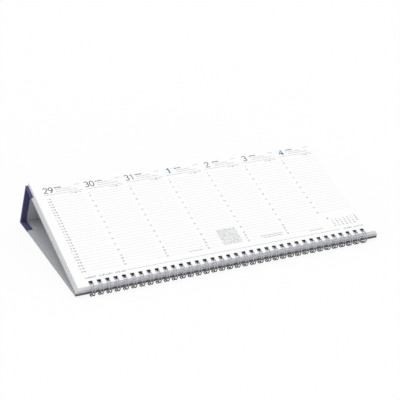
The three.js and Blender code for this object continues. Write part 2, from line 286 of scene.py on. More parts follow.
@dataclass(frozen=True)
class LeafStackFinish(Finish):
    """A trimmed pad of offset paper: white faces, cut edges that show leaf upon leaf, and painted
    shade on the walls of the punched holes.

    The leaves are 0.1 mm thick. The lines are drawn 0.35 mm apart, because lines at the true
    spacing would be too fine to show.

    Attributes:
        slope: how far the leaves lean back, in radians.
        x_span: x of the pad's two ends.
        v_span: the turned y of its front and back edges.
        white: the colour of the paper.
        edge: the colour of the leaves' cut edges.
        shade: the colour in the gaps between the leaves.
        hole: the painted shade on the walls of the punched holes, a dark brown.
        line_mm: the spacing of the drawn leaf lines.
        relief_mm: the height of the lines' relief.
        rim_mm: how far from the pad's outer edges a cut wall counts as a hole's.
    """

    slope: float
    x_span: tuple[float, float]
    v_span: tuple[float, float]
    white: str = "fdfdfd"
    edge: str = "fbfcff"
    shade: str = "f2f4f8"
    hole: str = "756f62"
    line_mm: float = 0.35
    relief_mm: float = 0.06
    rim_mm: float = 1.4

    @classmethod
    def fitted_to(cls, leaf: "LeafFrame") -> "LeafStackFinish":
        """Fits the finish to the pad: its ends in x and its edges in the turned y."""
        points = vertices_of(leaf.pad)
        turned = points[:, 1] * math.cos(leaf.slope) + points[:, 2] * math.sin(leaf.slope)
        spans = [(float(c.min()), float(c.max())) for c in (points[:, 0], turned)]
        return cls("trimmed leaves", leaf.slope, *spans)

    def hole_walls(self, tree: Tree, edge: Socket) -> Socket:
        """Adds nodes that give one on cut walls inside the pad's outline by the rim, for painted
        shade.
        """
        parts = axes(tree, slope=self.slope)
        inside = edge
        for axis, (low, high) in (("X", self.x_span), ("Y", self.v_span)):
            middle, reach = (low + high) / 2, (high - low) / 2 - self.rim_mm * MM
            within = math_node(tree, "COMPARE", parts[axis], middle, reach)
            inside = math_node(tree, "MULTIPLY", inside, within)
        return inside

    def build(self) -> Material:
        """Makes the material: noise stretched along the leaves, seen only on the cut edges.

        A face counts as a cut edge where its normal leans 60 degrees or more from the leaf's.
        """
        material, tree = new_material(self.name)
        along, over = 30.0, 1 / (self.line_mm * MM)
        lines = noise(tree, (along, along, over), slope=self.slope)
        normal = add_node(tree, "ShaderNodeNewGeometry").outputs["True Normal"]
        leaf_up = (0.0, -math.sin(self.slope), math.cos(self.slope))
        facing = add_node(
            tree, "ShaderNodeVectorMath", {0: normal, 1: leaf_up}, operation="DOT_PRODUCT"
        )
        upright = math_node(tree, "ABSOLUTE", facing.outputs["Value"])
        edge = math_node(tree, "GREATER_THAN", 0.5, upright)
        line_colour = ramp(tree, lines, [(0.35, self.shade), (0.62, self.edge)])
        colour = mix_colours(tree, edge, linear_colour(self.white), line_colour)
        # The walls of the punched holes are painted dark as shade, since little light reaches into
        # them.
        holes = self.hole_walls(tree, edge)
        colour = mix_colours(tree, holes, colour, linear_colour(self.hole))
        relief = bump(tree, math_node(tree, "MULTIPLY", edge, lines), self.relief_mm)
        return complete(material, colour, relief, roughness=0.8, specular=0.2)


@dataclass(frozen=True)
class GreyboardFinish(Finish):
    """Solid greyboard pressed from waste paper: mottled grey with flecks and soft cut edges.

    Attributes:
        light: the colour of the board.
        dark: the colour of its darker mottle.
        fleck: the colour of the stray fibres.
        fleck_reach: the flecks' radius as a share of their spacing.
        relief_mm: the height of the board's relief.
    """

    light: str = "d3d4d8"
    dark: str = "c3c4c8"
    fleck: str = "a2a3a6"
    fleck_reach: float = 0.13
    relief_mm: float = 0.08

    def build(self) -> Material:
        """Makes the material: mottle of 2 mm, layers of 0.4 mm and flecks 1.1 mm apart."""
        material, tree = new_material(self.name)
        mottle = noise(tree, (500.0, 500.0, 2500.0), detail=5.0)
        cells = {"Vector": coordinates(tree, (900.0, 900.0, 2000.0)), "Scale": 1.0}
        distance = add_node(tree, "ShaderNodeTexVoronoi", cells).outputs["Distance"]
        near = math_node(tree, "GREATER_THAN", self.fleck_reach, distance)
        board = ramp(tree, mottle, [(0.32, self.dark), (0.68, self.light)])
        colour = mix_colours(tree, near, board, linear_colour(self.fleck))
        relief = bump(tree, mottle, self.relief_mm, strength=0.7)
        return complete(material, colour, relief, roughness=0.95, specular=0.2)


@dataclass(frozen=True)
class BookClothFinish(Finish):
    """Starch-filled cotton book cloth, plain woven and dyed navy: matt, with slubs.

    It reads the piece's UV map, which is the cloth's own flat surface in metres.

    Attributes:
        thread: the colour of the top of the threads.
        gap: the colour of the filled gaps between them.
        thread_mm: the spacing of the threads.
        relief_mm: the height of the weave.
        weave_share: how strong the weave is beside the slubs.
    """

    thread: str = "605f8a"
    gap: str = "48476e"
    thread_mm: float = 0.55
    relief_mm: float = 0.07
    weave_share: float = 0.35

    def build(self) -> Material:
        """Makes the material: two crossed sine waves for warp and weft, and noise for slubs."""
        material, tree = new_material(self.name)
        turns_per_metre = 2 * math.pi / (self.thread_mm * MM)
        slub = noise(tree, (120.0, 1400.0, 1.0), source="UV")
        parts = axes(tree, source="UV")
        waves = []
        for axis in ("X", "Y"):
            phase = math_node(tree, "MULTIPLY", parts[axis], turns_per_metre)
            waves.append(math_node(tree, "SINE", phase))
        crossed = math_node(tree, "MULTIPLY", *waves)
        raised = math_node(tree, "MULTIPLY_ADD", crossed, self.weave_share, slub)
        relief = bump(tree, raised, self.relief_mm, strength=0.8)
        colour = ramp(tree, raised, [(0.2, self.gap), (0.75, self.thread)])
        return complete(material, colour, relief, roughness=0.9, specular=0.15, sheen=0.05)


@dataclass(frozen=True)
class WireFinish(Finish):
    """Drawn steel wire with a silver nylon coat: softly reflecting, faintly streaked.

    It reads the piece's UV map, whose U runs once round a loop from its root to its tip. Along
    it the colour carries painted shade: dark where the loop sits in the holes and where it turns
    under the stand, and somewhat darker in front of the pad.

    Attributes:
        light: the colour of the coat.
        front: the colour in front of the pad, with some painted shade.
        worn: painted shade, in the holes and under the stand.
        relief_mm: the height of the streaks' relief.
    """

    light: str = "c2c3cf"
    front: str = "a3a4b2"
    worn: str = "1c1b22"
    relief_mm: float = 0.01

    def build(self) -> Material:
        """Makes the material: a ramp of painted shade along the loop, and noise of 0.5 by 1.5 mm
        for streaks.
        """
        material, tree = new_material(self.name)
        streak = noise(tree, (2200.0, 650.0, 650.0))
        relief = bump(tree, streak, self.relief_mm)
        # Painted shade along the loop: dark in the holes and under the stand, light over the top, a
        # little darker in front.
        along = ramp(tree, axes(tree, source="UV")["X"], [
            (0.0, self.worn),
            (0.33, self.worn),
            (0.42, self.light),
            (0.6, self.light),
            (0.7, self.front),
            (0.79, self.worn),
        ])
        shade = ramp(tree, streak, [(0.3, "dcdcdc"), (0.6, "ffffff")])
        colour = mix_colours(tree, 1.0, along, shade, blend="MULTIPLY")
        return complete(material, colour, relief, roughness=0.38, metallic=0.5, specular=0.3)


@dataclass(frozen=True)
class InkFinish:
    """Offset ink soaked into uncoated paper: matt, and a little uneven over the fibres.

    Attributes:
        ink: which ink it is.
        fade: how far the thin places go towards white.
    """

    ink: Ink
    fade: float = 0.12

    def build(self) -> Material:
        """Makes the material: noise of 0.3 mm lightens the ink where the fibres took less."""
        material, tree = new_material(f"offset ink {self.ink.name.lower()}")
        mottle = noise(tree, (3300.0,) * 3, detail=1.0)
        full = channels(self.ink.value)
        thin = "".join(f"{int(c):02x}" for c in full + (255 - full) * self.fade)
        colour = ramp(tree, mottle, [(0.45, self.ink.value), (0.75, thin)])
        return complete(material, colour, None, roughness=0.75, specular=0.2)


class LeafFrame:
    """The flat system of the top leaf, read from the CAD pad.

    Attributes:
        pad: the CAD node of the pad.
        slope: how far the leaf leans back, in radians.
        left: x of the leaf's left edge.
        width: the leaf's length along the binding.
        front: y and z of its front edge.
    """

    def __init__(self, pad: Object) -> None:
        """Finds the leaf's edges: the pad's foremost and highest points, seen from the end."""
        points = vertices_of(pad)
        foremost = points[points[:, 1].argmin()]
        highest = points[points[:, 2].argmax()]
        run, rise = highest[1:] - foremost[1:]
        self.pad = pad
        self.slope: float = math.atan2(rise, run)
        self.left: float = points[:, 0].min()
        self.width: float = np.ptp(points[:, 0])
        self.front: Array = foremost[1:]

    def to_row(self, x: Array, v: Array, h: Array) -> Array:
        """Turns leaf coordinates into points of the row frame, one row each.

        From the leaf's front edge, y is v cos - h sin and z is v sin + h cos.
        """
        x, v, h = np.broadcast_arrays(x, v, h)
        y = self.front[0] + v * math.cos(self.slope) - h * math.sin(self.slope)
        z = self.front[1] + v * math.sin(self.slope) + h * math.cos(self.slope)
        return np.stack([x, y, z], axis=-1).reshape(-1, 3)

    def side_of(self, node: Object) -> Array:
        """Gives v and h of every vertex of a CAD node, the turn of to_row backwards."""
        points = vertices_of(node)
        y, z = points[:, 1] - self.front[0], points[:, 2] - self.front[1]
        v = y * math.cos(self.slope) + z * math.sin(self.slope)
        h = z * math.cos(self.slope) - y * math.sin(self.slope)
        return np.stack([v, h], axis=-1)


def vertices_of(node: Object) -> Array:
    """Reads a mesh object's vertices as an array with one row for each."""
    flat = np.empty(len(node.data.vertices) * 3)
    node.data.vertices.foreach_get("co", flat)
    return flat.reshape(-1, 3)


def add_object(name: str, data: bpy.types.ID) -> Object:
    """Makes an object of a mesh, lamp or camera and links it to the scene."""
    thing = bpy.data.objects.new(name, data)
    bpy.context.scene.collection.objects.link(thing)
    return thing


def make_piece(
    name: str,
    points: Array,
    faces: list[list[int]],
    material: Material,
    smooth: bool = False,
) -> Object:
    """Makes a mesh object at the origin that rides on the calendar, its normals facing out.

    Args:
        name: the piece's name.
        points: vertices in the row frame.
        faces: the vertex numbers of each face.
        material: its finish.
        smooth: whether its faces are shaded smooth.
    """
    mesh = bpy.data.meshes.new(name)
    mesh.from_pydata(points.tolist(), [], faces)
    mesh.validate()
    shell = bmesh.new()
    shell.from_mesh(mesh)
    bmesh.ops.recalc_face_normals(shell, faces=shell.faces)
    shell.to_mesh(mesh)
    shell.free()
    mesh.polygons.foreach_set("use_smooth", np.full(len(mesh.polygons), smooth))
    mesh.materials.append(material)
    piece = add_object(name, mesh)
    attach(piece, ROOT)
    LOG.info("%s: %d faces", name, len(mesh.polygons))
    return piece


def ring_faces(rings: int, around: int) -> Array:
    """Gives the quads of a tube whose vertices are stored ring by ring.

    Quad a of ring r is (r, a), (r, a+1), (r+1, a+1), (r+1, a), with a+1 taken round the ring.
    """
    r, a = np.meshgrid(np.arange(rings - 1), np.arange(around), indexing="ij")
    b = (a + 1) % around
    quads = [r * around + a, r * around + b, (r + 1) * around + b, (r + 1) * around + a]
    return np.stack(quads, axis=-1).reshape(-1, 4)


@dataclass
class TwinLoopBinding:
    """The wire along the front edge: double loops at three to 25.4 mm, closed round the pad.

    Attributes:
        leaf: the leaf frame.
        cad_wire: the CAD node that this wire replaces.
        pitch: the loops' spacing.
        end_margin: the least leaf beyond the last loop.
        spread: the distance between the two wires of a loop.
        diameter: the wire's diameter.
        root: the angle in degrees where neighbouring loops are joined.
        tip: the angle where a loop's round tip begins.
        root_dip: how far the bend between two loops bows out.
        arc_steps: points along each wire of a loop.
        bend_steps: points round each bend.
        sides: points round the wire.
    """

    leaf: LeafFrame
    cad_wire: Object
    pitch: float = 25.4 * MM / 3
    end_margin: float = 12 * MM
    spread: float = 2.6 * MM
    diameter: float = 1.0 * MM
    root: float = 286.0
    tip: float = 258.0 + 360.0
    root_dip: float = 0.7 * MM
    arc_steps: int = 26
    bend_steps: int = 10
    sides: int = 12

    def path(self) -> tuple[Array, Array]:
        """Works out the wire's centre line on the loop's ellipse.

        A loop goes round at x = -spread/2 from root to tip, turns on a half circle, comes back
        at x = +spread/2 and bows across to the next loop on a half cosine.

        Returns:
            x and the ellipse angle of each point.
        """
        depth = self.ellipse()[2]
        half, bridge = self.spread / 2, (self.pitch - self.spread) / 2
        root, tip = math.radians(self.root), math.radians(self.tip)
        go = np.linspace(root, tip, self.arc_steps, endpoint=False)
        turn = np.linspace(0, math.pi, self.bend_steps, endpoint=False)
        x = np.concatenate([
            np.full(self.arc_steps, -half),
            -half * np.cos(turn),
            np.full(self.arc_steps, half),
            half + bridge * (1 - np.cos(turn)),
        ])
        angle = np.concatenate([
            go,
            tip + half / depth * np.sin(turn),
            tip + root - go,
            root - self.root_dip / depth * np.sin(turn),
        ])
        count = math.floor((self.leaf.width - 2 * self.end_margin) / self.pitch) + 1
        first = self.leaf.left + (self.leaf.width - (count - 1) * self.pitch) / 2
        centres = first + np.arange(count) * self.pitch
        all_x = (centres[:, None] + x).ravel()
        all_angles = np.tile(angle, count)
        last = len(all_x) - self.bend_steps + 1
        return all_x[:last], all_angles[:last]

    def ellipse(self) -> tuple[float, float, float, float]:
        """Reads the loop's ellipse from the CAD wire's outline: centre v and h, half sizes."""
        side = self.leaf.side_of(self.cad_wire)
        low, high = side.min(axis=0), side.max(axis=0)
        centre = (low + high) / 2
        half = (high - low) / 2 - self.diameter / 2
        return centre[0], centre[1], half[0], half[1]

    def build(self, finish: WireFinish) -> Object:
        """Makes the wire: a circle carried along the path, with a closed end at each side.

        A point is path + r (cos p N + sin p B), where N is the ellipse's outward normal, which
        is square to the path, and B is the path's direction times N.
        """
        x, angle = self.path()
        v0, h0, depth, height = self.ellipse()
        cos, sin = np.cos(angle), np.sin(angle)
        line = self.leaf.to_row(x, v0 + depth * cos, h0 + height * sin)
        origin = self.leaf.to_row(0.0, 0.0, 0.0)
        normal = self.leaf.to_row(0.0, height * cos, depth * sin) - origin
        normal /= np.linalg.norm(normal, axis=1, keepdims=True)
        ahead = np.gradient(line, axis=0)
        side = np.cross(ahead, normal)
        side /= np.linalg.norm(side, axis=1, keepdims=True)
        turn = np.linspace(0, 2 * math.pi, self.sides, endpoint=False)
        ring = normal[:, None] * np.cos(turn)[:, None] + side[:, None] * np.sin(turn)[:, None]
        points = (line[:, None] + ring * self.diameter / 2).reshape(-1, 3)
        a = np.arange(self.sides)
        after = (a + 1) % self.sides
        last_ring = len(points) - self.sides
        faces = ring_faces(len(line), self.sides).tolist()
        for start, middle in ((0, len(points)), (last_ring, len(points) + 1)):
            cap = np.stack([start + a, start + after, np.full_like(a, middle)], axis=-1)
            faces += cap.tolist()
        points = np.vstack([points, line[[0, -1]]])
        wire = make_piece("twin_loop_wire", points, faces, finish.build(), True)
        share = (angle - math.radians(self.root)) / math.radians(self.tip - self.root)
        share = np.concatenate([np.repeat(share, self.sides), share[[0, -1]]])
        place = np.concatenate([np.tile(a / self.sides, len(line)), [0.0, 0.0]])
        lay_map(wire, "turn of the loop", np.stack([share, place], axis=-1))
        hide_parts(self.cad_wire.name)
        return wire


@dataclass
class SpineCloth:
    """The navy cloth glued round the back: over both folds, with its ends turned in.

    Attributes:
        leaf: the leaf frame.
        nodes: the CAD nodes.
        lap_on_front: cloth on the front board.
        lap_on_base: cloth under the base.
        turn_in: cloth brought round the board ends onto the inside.
        glue: the glue line under the cloth.
        thickness: the cloth's thickness.
        arc_steps: points round each bend.
    """

    leaf: LeafFrame
    nodes: dict[str, Object]
    lap_on_front: float = 19 * MM
    lap_on_base: float = 26 * MM
    turn_in: float = 5.6 * MM
    glue: float = 0.15 * MM
    thickness: float = 0.3 * MM
    arc_steps: int = 8

    def folds(self) -> tuple[Array, Array, Array]:
        """Finds the outer corners of the wedge, seen from the end.

        Returns:
            The top fold, the rear fold, where the back board's outer line meets the base's
            lower line, and a point further along that line.
        """
        names = ("front_board", "base_board", "back_board")
        front, base, back = (self.leaf.side_of(self.nodes[name]) for name in names)
        top = front.max(axis=0)
        base_front = base[base[:, 0].argmin()]
        base_line = base[base[:, 1].argmin()] - base_front
        back_top = back[back[:, 1].argmax()]
        back_line = back[back[:, 0].argmax()] - back_top
        lengths = np.linalg.solve(np.stack([back_line, -base_line], axis=-1), base_front - back_top)
        return top, back_top + lengths[0] * back_line, base_front

    def stations(self) -> tuple[Array, Array, Array]:
        """Lays the cloth's path round the boards.

        Returns:
            For each station the point on the boards' outer line, the outward direction for
            what lies outside it, and the one for what lies inside. Round a fold the first
            turns evenly and the second stays on the mitre line.
        """
        top, rear, base_front = self.folds()
        ahead = [np.array([1.0, 0.0]), rear - top, base_front - rear]
        ahead = [a / np.linalg.norm(a) for a in ahead]
        outward = [np.array([-a[1], a[0]]) for a in ahead]
        points = [top - self.lap_on_front * ahead[0]]
        outside, inside = [outward[0]], [outward[0]]
        for fold, before, after in zip((top, rear), outward, outward[1:]):
            start = math.atan2(before[1], before[0])
            turn = -math.acos(float(before @ after))
            angles = start + turn * np.linspace(0, 1, self.arc_steps + 1)
            mitre = (before + after) / (1 + before @ after)
            points += [fold] * len(angles)
            outside += [np.array([math.cos(angle), math.sin(angle)]) for angle in angles]
            inside += [mitre] * len(angles)
        points.append(rear + self.lap_on_base * ahead[2])
        outside.append(outward[2])
        inside.append(outward[2])
        return np.array(points), np.array(outside), np.array(inside)

    def across(self, offset: float) -> Array:
        """Lays a line across the cloth at an offset from the boards, round both of their ends.

        Returns:
            x and the height over the boards' outer face: a margin inside, quarter circles
            of that radius round the two edges of the board's end, and the outside.
        """
        thickness = np.ptp(self.leaf.side_of(self.nodes["front_board"])[:, 1])
        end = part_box("front_board")[1].x
        quarter = np.linspace(0, math.pi / 2, self.arc_steps + 1)
        sin, cos = offset * np.sin(quarter), offset * np.cos(quarter)
        x = np.concatenate([[end - self.turn_in], end + sin, end + cos])
        d = np.concatenate([[-thickness - offset], -thickness - cos, sin])
        return np.stack([np.append(x, -x[::-1]), np.append(d, d[::-1])], axis=-1)

    def build(self, finish: BookClothFinish) -> Object:
        """Makes the cloth as a closed shell carried along the stations.

        A vertex is station + d times the outside direction where d is positive, and d times
        the mitred one where it is negative.
        """
        points, outside, inside = self.stations()
        outer = self.across(self.glue + self.thickness)
        inner = self.across(self.glue)
        section = np.vstack([outer, inner[::-1]])
        x, d = section[:, 0], section[:, 1]
        direction = np.where((d > 0)[None, :, None], outside[:, None], inside[:, None])
        side = points[:, None] + direction * d[None, :, None]
        x_grid = np.broadcast_to(x, side.shape[:2])
        vertices = self.leaf.to_row(x_grid, side[..., 0], side[..., 1])
        around, across = len(section), len(outer)
        tube = ring_faces(len(points), around)
        t = np.arange(across - 1)
        cap = np.stack([t, t + 1, around - 2 - t, around - 1 - t], axis=-1)
        faces = np.vstack([tube, cap, cap + (len(points) - 1) * around]).tolist()
        cloth = make_piece("spine_cloth", vertices, faces, finish.build())
        width = path_length(self.across(self.glue + self.thickness / 2))[-1]
        middle = points + outside * (self.glue + self.thickness / 2)
        along = path_length(middle)
        widths = np.concatenate([path_length(outer), path_length(outer)[::-1]])
        flat = np.stack(np.meshgrid(along, widths, indexing="ij"), axis=-1).reshape(-1, 2)
        lay_map(cloth, "flat cloth", flat)
        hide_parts("cloth_strip")
        return cloth


def lay_map(piece: Object, name: str, flat: Array) -> None:
    """Gives a piece a UV map from two numbers for each vertex."""
    mesh = piece.data
    corners = np.empty(len(mesh.loops), dtype=int)
    mesh.loops.foreach_get("vertex_index", corners)
    layer = mesh.uv_layers.new(name=name)
    layer.data.foreach_set("uv", flat[corners].astype(np.float32).ravel())


def path_length(points: Array) -> Array:
    """Gives the distance along a path at each of its points."""
    steps = np.linalg.norm(np.diff(points, axis=0), axis=1)
    return np.concatenate([[0.0], np.cumsum(steps)])


def arc(x: float, y: float, rx: float, ry: float, start: float, end: float, steps: int) -> Array:
    """Gives points on an ellipse: (x + rx cos a, y + ry sin a), a from start to end degrees."""
    angle = np.radians(np.linspace(start, end, steps + 1))
    return np.stack([x + rx * np.cos(angle), y + ry * np.sin(angle)], axis=-1)


class LightNumerals:
    """Plain light numerals of our own, drawn as strokes in a cell one unit high."""

    WIDTH = 0.56
    GAP = 0.16
    SPACE = 0.45

    @classmethod
    def strokes(cls, digit: str, steps: int) -> list[Array]:
        """Draws a digit as one or two strokes, with so many pieces in a full round."""
        half = max(steps // 2, 3)
        hook = arc(0.28, 0.74, 0.24, 0.26, 165, -38, half)
        belly = arc(0.25, 0.32, 0.28, 0.32, 118, -150, half)
        shapes = {
            "0": [arc(0.28, 0.5, 0.26, 0.5, 0, 360, steps)],
            "1": [np.array([[0.06, 0.78], [0.32, 1.0], [0.32, 0.0]])],
            "2": [np.vstack([hook, [[0.02, 0.0], [0.55, 0.0]]])],
            "3": [
                arc(0.26, 0.76, 0.23, 0.24, 155, -90, half),
                arc(0.26, 0.27, 0.27, 0.27, 90, -155, half),
            ],
            "4": [np.array([[0.42, 0.0], [0.42, 1.0], [0.0, 0.28], [0.58, 0.28]])],
            "5": [np.vstack([[[0.5, 1.0], [0.12, 1.0], [0.08, 0.56]], belly])],
            "6": [
                arc(0.28, 0.3, 0.26, 0.3, 0, 360, steps),
                arc(0.56, 0.3, 0.54, 0.72, 180, 105, half),
            ],
            "7": [np.array([[0.03, 1.0], [0.54, 1.0], [0.17, 0.0]])],
            "8": [
                arc(0.28, 0.76, 0.21, 0.24, 0, 360, steps),
                arc(0.28, 0.27, 0.26, 0.27, 0, 360, steps),
            ],
            "9": [
                arc(0.28, 0.7, 0.26, 0.3, 0, 360, steps),
                arc(0.0, 0.7, 0.54, 0.72, 0, -75, half),
            ],
        }
        return shapes[digit]


@dataclass
class InkLayer:
    """All strokes printed in one ink, as thin closed bars that lie on the leaf.

    Its methods take millimetres on the leaf: along the binding from the leaf's left edge, and
    up from its front edge.

    Attributes:
        ink: the ink.
        leaf: the leaf frame.
        rng: the random source for the lengths of words, one for the whole page.
        lift: the strokes' lower face over the leaf, in metres.
        height: their upper face over the leaf.
        points: the vertices of each stroke.
        faces: the vertex numbers of its faces.
        count: how many vertices there are so far.
    """

    ink: Ink
    leaf: LeafFrame
    rng: np.random.Generator
    lift: float = 0.004 * MM
    height: float = 0.03 * MM
    points: list[Array] = field(default_factory=list)
    faces: list[Array] = field(default_factory=list)
    count: int = 0

    def stroke(self, line: Array, width: float) -> None:
        """Adds a bar of a width along a line of points.

        Its edges lie half the width to each side along the line's mitred normals, cut off at
        one and a half half-widths. Four vertices stand at each point.
        """
        ahead = np.diff(line, axis=0)
        ahead /= np.linalg.norm(ahead, axis=1, keepdims=True)
        before = np.vstack([ahead[:1], ahead])
        after = np.vstack([ahead, ahead[-1:]])
        if np.allclose(line[0], line[-1]):
            before[0], after[-1] = ahead[-1], ahead[0]
        middle = before + after
        middle /= np.linalg.norm(middle, axis=1, keepdims=True)
        least_cosine, longest = 0.1, 1.5
        cosine = np.maximum(np.sum(middle * after, axis=1), least_cosine)
        reach = np.minimum(1 / cosine, longest)
        side = np.stack([-middle[:, 1], middle[:, 0]], axis=-1) * reach[:, None] * width / 2
        flat = np.stack([line + side, line - side, line - side, line + side], axis=1)
        heights = np.array([self.height, self.height, self.lift, self.lift])
        x = self.leaf.left + flat[..., 0] * MM
        vertices = self.leaf.to_row(x, flat[..., 1] * MM, np.broadcast_to(heights, x.shape))
        first, last = np.arange(4), np.arange(4) + (len(line) - 1) * 4
        self.points.append(vertices)
        self.faces.append(np.vstack([ring_faces(len(line), 4), first, last]) + self.count)
        self.count += len(vertices)

    def bar(self, start: float, length: float, at: float, width: float) -> None:
        """Adds a straight bar along the binding: its start, length, distance up and width."""
        self.stroke(np.array([[start, at], [start + length, at]]), width)

    def number(self, text: str, start: float, foot: float, size: float, weight: float) -> None:
        """Prints digits of a size from a start and foot, with a narrow gap for a space."""
        large_from, steps_large, steps_small = 4, 28, 8
        steps = steps_large if size > large_from else steps_small
        for character in text:
            if character == " ":
                start += (LightNumerals.WIDTH * LightNumerals.SPACE + LightNumerals.GAP) * size
                continue
            for line in LightNumerals.strokes(character, steps):
                self.stroke(line * size + [start, foot], weight)
            start += (LightNumerals.WIDTH + LightNumerals.GAP) * size

    def words(self, start: float, length: float, at: float, width: float) -> None:
        """Fills a line with bars of word length, which stand for small text."""
        shortest, longest, gap, least = 1.6, 4.2, 0.5, 0.4
        here = start
        while here < start + length:
            word = min(self.rng.uniform(shortest, longest), start + length - here)
            self.bar(here, max(word, least), at, width)
            here += word + gap

    def ticks(self, start: float, length: float, at: float, size: float) -> None:
        """Fills a line with slanted ticks, uneven in height and spacing, which stand for text."""
        slant, width = 0.4, 0.4
        here = start
        while here < start + length:
            top = size * self.rng.uniform(0.5, 1.0)
            self.stroke(np.array([[here, at], [here + slant * size, at + top]]), width)
            here += self.rng.uniform(0.6, 1.3)

    def build(self) -> Object:
        """Makes the ink's one mesh."""
        name = f"print_{self.ink.name.lower()}"
        finish = InkFinish(self.ink).build()
        return make_piece(name, np.vstack(self.points), np.vstack(self.faces).tolist(), finish)


@dataclass
class WeekPage:
    """The printing of one week on the top leaf: seven days side by side.

    Text is not copied. Plain numbers are drawn as numbers, and words are bars or ticks. Rows
    are counted down the leaf from the first hour, and lengths are in millimetres.

    Attributes:
        leaf: the leaf frame.
        first_column: where the first day starts, from the leaf's left edge.
        column: a day's width.
        row: the spacing of the ruled lines.
        first_row: the first hour's distance from the leaf's front edge.
        rows: ruled lines in a day.
        last_day_rows: ruled lines in the last day, over the small month.
        rule_end: where the ruled lines end in a column.
        first_hour: the hour that the first row names.
        evening_row: the row from which there are no half hours.
        evening_hour: the hour that it names.
        dates: the numbers of the seven days.
        date_size: the height of the dates.
        month_days: days in the small month.
        month_starts: the weekday of its first day, with 0 for Monday.
        seed: the seed for the word lengths.
    """

    leaf: LeafFrame
    first_column: float = 10.6
    column: float = 44.24
    row: float = 4.09
    first_row: float = 126.0
    rows: int = 27
    last_day_rows: int = 22
    rule_end: float = 39.8
    first_hour: int = 7
    evening_row: int = 23
    evening_hour: int = 19
    dates: tuple[str, ...] = ("29", "30", "31", "1", "2", "3", "4")
    date_size: float = 7.7
    month_days: int = 28
    month_starts: int = 6
    seed: int = 7

    def __post_init__(self) -> None:
        """Prepares a layer for each ink, with one random source for all, and counts the days."""
        self.last_day = len(self.dates) - 1
        rng = np.random.default_rng(self.seed)
        self.layers = {ink: InkLayer(ink, self.leaf, rng) for ink in Ink}
        self.layers[Ink.TINT].height = 0.012 * MM

    def place(self, day: int, across: float, row: float) -> tuple[float, float]:
        """Gives a place on the leaf: millimetres into a day's column, and a row."""
        return self.first_column + day * self.column + across, self.first_row - row * self.row

    def header(self, day: int) -> None:
        """Prints a day's date, the bars beside it and the rule under it. Days count from 0."""
        bold, light, tint_length, tint_width, line_width = 1.35, 0.95, 10.5, 9.5, 0.45
        date = self.dates[day]
        start, foot = self.place(day, -0.4 if len(date) > 1 else 2.5, -2.3)
        holiday, last = date == "1", day == self.last_day
        if holiday or last:
            self.layers[Ink.TINT].bar(start - 3.0, tint_length, foot + 3.8, tint_width)
        date_layer = self.layers[Ink.BLUE if last else Ink.DARK]
        date_layer.number(date, start, foot, self.date_size, bold if holiday or last else light)
        for ink, across, length, up, width in (
            (Ink.DARK, 11.5, 7.5, 6.4, 1.15),
            (Ink.GREY, 33.2, 5.8, 6.8, line_width),
            (Ink.PALE_GREY, 12.3, 16.0, 3.3, 0.9),
            (Ink.PALE_GREY, 12.3, 23.0, 0.4, 0.9),
        ):
            self.layers[ink].words(self.place(day, across, 0)[0], length, foot + up, width)
        rule_length, square = 40.7, 1.3
        start, at = self.place(day, -1.2, -1.6)
        self.layers[Ink.PALE_BLUE].bar(start, rule_length, at, line_width)
        start, at = self.place(day, 24.6, -1.05)
        self.layers[Ink.GREY].words(start, 5.4, at, line_width)
        self.layers[Ink.DARK].bar(start + 6.2, square, at, square)
        self.layers[Ink.PALE_BLUE].words(start + 8.4, 5.0, at, 0.5)

    def hour_at(self, row: int) -> tuple[int, bool]:
        """Gives the hour that a row names, and whether it stands for the half hour after it."""
        if row >= self.evening_row:
            return self.evening_hour + row - self.evening_row, False
        return self.first_hour + (row + 1) // 2, row > 0 and row % 2 == 0

    def hours(self, day: int) -> None:
        """Prints a day's ruled lines and its hours, and in the first day the half hours too."""
        grey, pale = self.layers[Ink.GREY], self.layers[Ink.PALE_GREY]
        across, size, weight = (6.4, 1.6, 0.3) if day == 0 else (3.6, 1.75, 0.36)
        left, single_left, below, rule_below, rule_width = -1.1, -0.5, 0.8, 0.2, 0.15
        for row in range(self.last_day_rows if day == self.last_day else self.rows):
            start, at = self.place(day, across, row)
            pale.bar(start, self.rule_end - across, at - rule_below, rule_width)
            hour, half = self.hour_at(row)
            if day == 0:
                label = f"{hour if hour > 9 else ' ' + str(hour)} {'30' if half else '00'}"
                grey.number(label, self.place(day, left, row)[0], at - below, size, weight)
            elif not half:
                start = self.place(day, left if hour > 9 else single_left, row)[0]
                grey.number(str(hour), start, at - below, size, weight)

    def notes(self) -> None:
        """Prints the small notes at the foot of some days and the block of small print."""
        grey = self.layers[Ink.GREY]
        note_width, tick_size = 0.55, 1.1
        for day, across, length, row in (
            (2, 23.2, 14.9, 26.0),
            (4, 14.5, 24.3, 25.4),
            (4, 16.9, 21.5, 26.0),
            (5, 23.5, 15.5, 26.7),
        ):
            start, at = self.place(day, across, row)
            grey.words(start, length, at, note_width)
        block_day, block_across, block_length = 3, 17.0, 20.5
        block_lines, top_row, block_rows = 13, 20.8, 5.0
        for line in range(block_lines):
            row = top_row + line * block_rows / (block_lines - 1)
            start, at = self.place(block_day, block_across, row)
            grey.ticks(start, block_length, at - 0.5, tick_size)

    def small_month(self) -> None:
        """Prints the small month at the right: rows of seven day numbers, Sundays blue."""
        sunday, line, weekday_gap, size, weight = 6, 0.74, 4.5, 1.3, 0.36
        start, at = self.place(self.last_day, 5.8, 23.55)
        self.layers[Ink.DARK].bar(start, 1.7, at, 1.2)
        for day in range(1, self.month_days + 1):
            week, weekday = divmod(self.month_starts + day - 1, 7)
            ink = self.layers[Ink.BLUE if weekday == sunday else Ink.GREY]
            start, at = self.place(self.last_day, 9.3 + weekday_gap * weekday, 23.5 + line * week)
            ink.number(str(day), start if day > 9 else start + 0.6, at - 0.6, size, weight)

